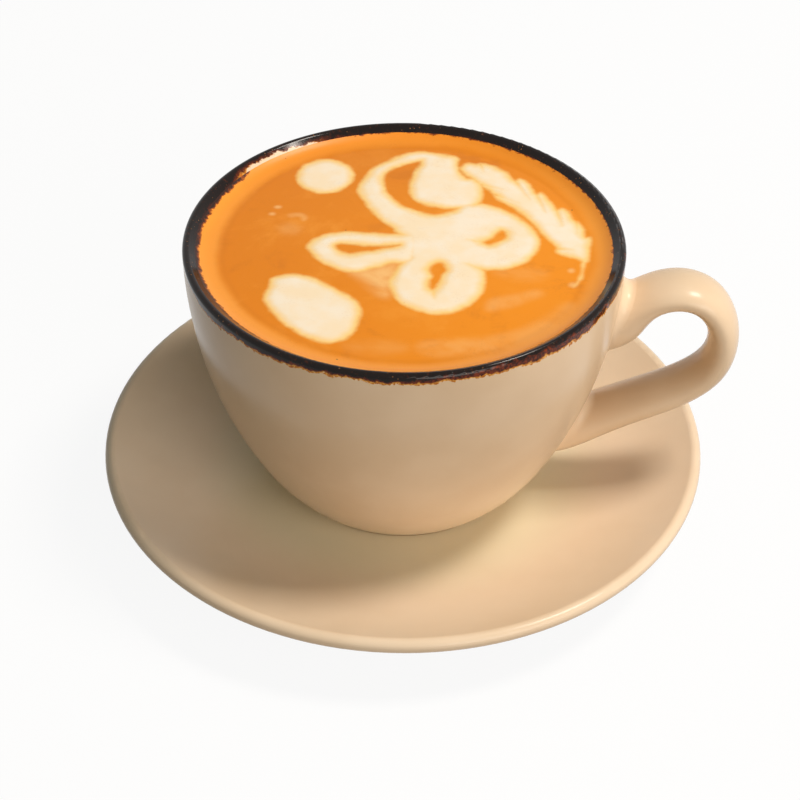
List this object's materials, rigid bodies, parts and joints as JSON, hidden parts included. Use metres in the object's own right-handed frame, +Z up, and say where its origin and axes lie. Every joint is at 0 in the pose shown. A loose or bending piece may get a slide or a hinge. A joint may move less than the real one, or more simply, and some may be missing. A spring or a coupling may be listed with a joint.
{
  "type": "cup of cappuccino",
  "caption": "Cappuccino with milk-foam art, filled to the lip of a round glazed cup with an ear handle and a dark glazed rim, on its saucer.",
  "frame": {"origin": "centre of the saucer's foot ring on the table, on the axis of cup and saucer", "axes": "+Z up, +X towards the cup's handle"},
  "size_m": [0.1554, 0.15, 0.0764],
  "materials": {
    "saucer_glaze": "glossy cream glaze",
    "cup_glaze": "glossy cream glaze with a dark brown band round the lip",
    "drink": "smooth coffee crema and white milk foam"
  },
  "bodies": {
    "root": {"saucer": "saucer_glaze", "cup": "cup_glaze", "cappuccino": "drink"}
  },
  "joints": []
}
